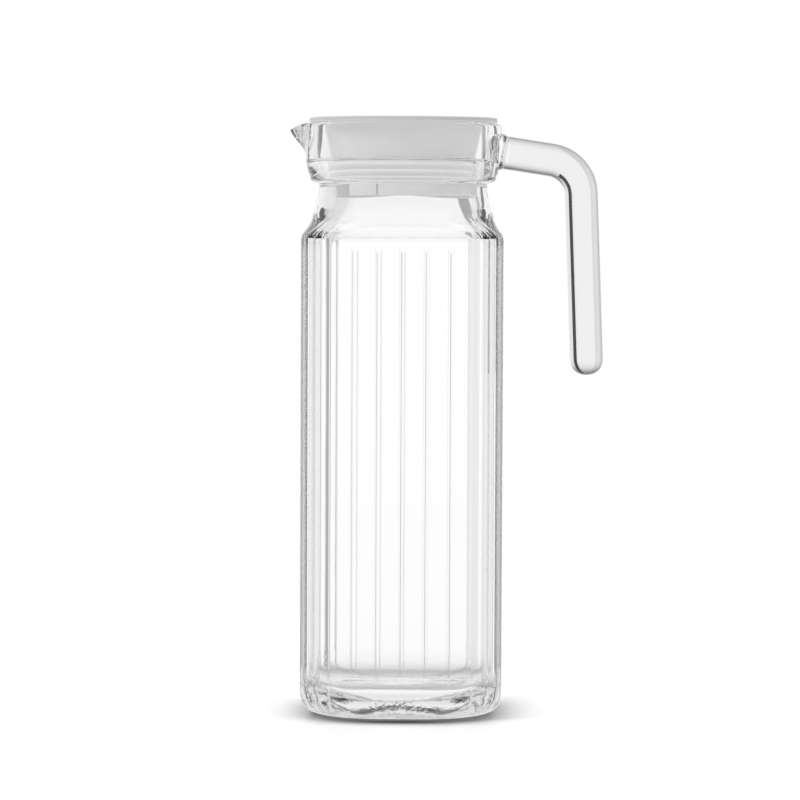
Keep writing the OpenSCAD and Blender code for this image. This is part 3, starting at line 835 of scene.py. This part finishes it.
def white_rubber():
    """Soft matt white seal with a faint mottle and a painted glow: it gives off a little light of
    its own, so that it stays pale in its groove, where it would be shaded."""
    material, shade = new_material("soft_white_seal")
    mottle = shade.noise(shade.place(), 120.0, 2.0)
    shade.finish(shade("ShaderNodeBsdfPrincipled", {}, {
        "Base Color": shade.between(mottle, grey(0.32), grey(0.36)), "Roughness": 0.6, "IOR": 1.42,
        "Subsurface Weight": 0.5, "Subsurface Scale": 0.004, "Subsurface Radius": (1, 1, 1),
        # painted glow: the seal's own light stands in for the light its grooves lack
        "Emission Strength": 0.34,
    }))
    return material


def table_top():
    """White table: a lit share and a glowing share that come to white together, so that only the
    shadow shows, under a faint gloss. Under the foot a contact shadow is painted in: a dark line
    that is a bell of the distance from a rounded square, by the cube root of the sum of both cubes,
    fainter to the left and right. What is seen through glass or in a gloss is the surround."""
    material, shade = new_material("white_table")
    across, back, _ = shade.parts(shade.place())
    foot_half, foot_y = 0.042, -0.0048
    x, y = ((v * (1 / foot_half)).size() for v in (across, back - foot_y))
    from_line = ((x * x * x + y * y * y) ** (1 / 3) - 0.90) * (1 / 0.21)
    # painted contact shadow: how strongly the table turns dark under the foot, fainter to the sides
    near = (from_line * from_line * -1.0).exponential() * (0.95 - (x * x * 1.1).limited() * 0.62)
    glow = shade("ShaderNodeEmission", {}, {"Color": grey(0.94), "Strength": 0.15})
    gloss = shade("ShaderNodeBsdfGlossy", {}, {"Color": grey(1), "Roughness": 0.14})
    white = shade("ShaderNodeAddShader", {}, {0: shade.diffuse(0.94), 1: glow})
    # where the painted shadow lies, the table becomes a nearly black matt surface
    top = shade.mixed(near, shade.mixed(0.16, white, gloss), shade.diffuse(0.02))
    glossy, through = shade.rays("Is Glossy Ray", "Is Transmission Ray")
    clear = shade("ShaderNodeBsdfTransparent")
    shade.finish(shade.mixed((glossy + through).limited(), top, clear))
    return material


# Levels of the surround, as glass and gloss show it: over its azimuth in degrees from straight
# ahead, and over the sine of its elevation
AROUND = [
    (-180, 1.0), (-150, 0.95), (-120, 0.9), (-90, 0.9), (-60, 0.92), (-48, 0.75), (-40, 0.45),
    (-30, 0.65), (-18, 0.85), (-8, 0.78), (-5.6, 0.8), (-4.8, 1.0), (8.2, 1.0), (9.2, 0.95),
    (15, 0.95), (16, 0.1), (20, 0.1), (21, 0.92), (42, 0.88), (60, 0.94), (90, 0.9), (120, 0.9),
    (150, 0.95), (180, 1.0),
]
UPWARDS = [
    (-1, 0.95), (-0.85, 0.5), (-0.7, 0.35), (-0.55, 0.5), (-0.4, 0.7), (-0.25, 0.88), (-0.1, 0.98),
    (-0.06, 1.0), (0.06, 1.0), (0.12, 0.98), (0.2, 0.92), (0.3, 0.8), (0.42, 0.5), (0.55, 0.2),
    (0.7, 0.25), (0.85, 0.8), (1, 1.0),
]

# A narrow dark stripe of the surround, which only shows through more than one wall of glass: its
# azimuth, its half width with and without its soft edge, in degrees, and how much it takes away
STRIPE_AT, STRIPE_HALF, STRIPE_EDGE, STRIPE_DEPTH = 6.3, 2.3, 0.8, 0.68

# What glass and gloss see of the surround is brought just past white, and matt things see less
GLASS_GAIN, MATT_LOSS = 1.006, 0.25

# Lamps: name, place and width in metres, and power in watts
LAMPS = (("key", (-1.3, -0.9, 1.6), 1.0, 17.0), ("fill", (1.5, -0.6, 1.2), 1.2, 3.5))


def make_surround():
    """The world: white for the camera, a little less for matt things, and for glass and gloss the
    product of its levels around and upwards. The levels around fade out in steep directions, and
    gloss sees the product paler than glass does."""
    world = bpy.data.worlds.new("studio")
    bpy.context.scene.world = world
    world.use_nodes = True
    shade = Shade(world.node_tree)
    x, y, z = shade.parts(shade("ShaderNodeTexCoord", output=0))
    camera, diffuse, mirrored, walls = shade.rays(
        "Is Camera Ray", "Is Diffuse Ray", "Glossy Depth", "Transmission Depth")
    azimuth = shade("ShaderNodeMath", {"operation": "ARCTAN2"}, {0: x, 1: y})
    around = shade.ramp(azimuth * (0.5 / math.pi) + 0.5, [(a / 360 + 0.5, v) for a, v in AROUND])
    upwards = shade.ramp(z * 0.5 + 0.5, [(a / 2 + 0.5, v) for a, v in UPWARDS])
    stripe = (azimuth * (180 / math.pi) - STRIPE_AT).size().rise(STRIPE_HALF, -STRIPE_EDGE)
    around = around * (1.0 - stripe * (walls > 2.5) * STRIPE_DEPTH)
    seen = (around + (1.0 - around) * z.size().rise(0.25, 0.35)) * upwards
    seen = seen + (1.0 - seen) * (mirrored > 0.5) * 0.7
    plain = (camera + diffuse).limited()
    strength = plain + (1.0 - plain) * seen * GLASS_GAIN - diffuse * MATT_LOSS
    light = shade("ShaderNodeBackground", {}, {"Color": grey(1), "Strength": strength})
    shade.node("ShaderNodeOutputWorld", {}, {"Surface": light})


def make_lamps():
    """Two large lamps that only matt things are lit by, both turned to a point on the axis."""
    aim = Vector((0, 0, 0.15))
    for name, at, width, power in LAMPS:
        lamp = bpy.data.lights.new(name, "AREA")
        lamp.size, lamp.energy = width, power
        held = bpy.data.objects.new(name, lamp)
        held.location = at
        held.rotation_mode = "QUATERNION"
        held.rotation_quaternion = (Vector(at) - aim).to_track_quat("Z", "Y")
        held.visible_camera = held.visible_glossy = held.visible_transmission = False
        bpy.context.scene.collection.objects.link(held)


def stage_mesh(name, points, faces, material):
    """A mesh of the studio, from points in metres."""
    mesh = bpy.data.meshes.new(name)
    mesh.from_pydata(points.tolist(), [], faces)
    mesh.materials.append(material)
    thing = bpy.data.objects.new(name, mesh)
    bpy.context.scene.collection.objects.link(thing)
    return thing


def make_handle_card():
    """A dark card that only glass shows. It stands 100 mm behind the handle as a band that follows
    the outside of its bend, but for the first steps, and of its grip, and draws its finger side."""
    material, shade = new_material("dark_card")
    shade.finish(shade.diffuse(0.01))
    x, z, turns = handle_bend()
    turns = turns[9:]
    reach = np.array([22.0, 46.0])[:, None] + BEND_R
    behind = 100 + 0 * reach * turns
    bend = np.stack([x + reach * np.sin(turns), behind, z + reach * np.cos(turns)], -1)
    down = 82 * np.array([math.sin(-GRIP_LEAN), 0, math.cos(GRIP_LEAN)])
    band = np.concatenate([bend, bend[:, -1:] - down], 1)
    count = band.shape[1]
    quads = [[k, k + 1, count + k + 1, count + k] for k in range(count - 1)]
    card = stage_mesh("handle_card", band.reshape(-1, 3) * MM, quads, material)
    card.visible_camera = card.visible_diffuse = card.visible_glossy = card.visible_shadow = False


def make_table():
    """A round table, 1.2 m across."""
    a = np.linspace(0, 2 * np.pi, 96, endpoint=False)
    edge = 0.6 * np.stack([np.cos(a), np.sin(a), 0 * a], 1)
    stage_mesh("table", edge, [list(range(len(a)))], table_top())


def make_camera():
    """The photograph's view: 1.7 m from the axis, half a degree right of the front, at the
    shoulder's height, looking down 2.7 degrees, and rolled a quarter of a degree."""
    data = bpy.data.cameras.new("view")
    data.sensor_width, data.lens = 36.0, 180.2
    camera = bpy.data.objects.new("view", data)
    distance, turn, height, roll = 1.7, math.radians(0.5), 0.2115, math.radians(0.24)
    at = Vector((distance * math.sin(turn), -distance * math.cos(turn), height))
    aim = Vector((-0.00097, 0, 0.1321))
    camera.location = at
    camera.rotation_mode = "QUATERNION"
    level = (at - aim).to_track_quat("Z", "Y")
    camera.rotation_quaternion = level @ Matrix.Rotation(roll, 3, "Z").to_quaternion()
    bpy.context.scene.collection.objects.link(camera)
    bpy.context.scene.camera = camera


make_pitcher(clear_glass())
make_lid(white_plastic())
make_seal(white_rubber())
make_surround()
make_lamps()
make_handle_card()
make_table()
make_camera()

scene = bpy.context.scene
scene.view_settings.view_transform = "Standard"
scene.cycles.max_bounces = 32
scene.cycles.transmission_bounces = 32
scene.cycles.glossy_bounces = 12
scene.cycles.diffuse_bounces = 6
scene.cycles.transparent_max_bounces = 32
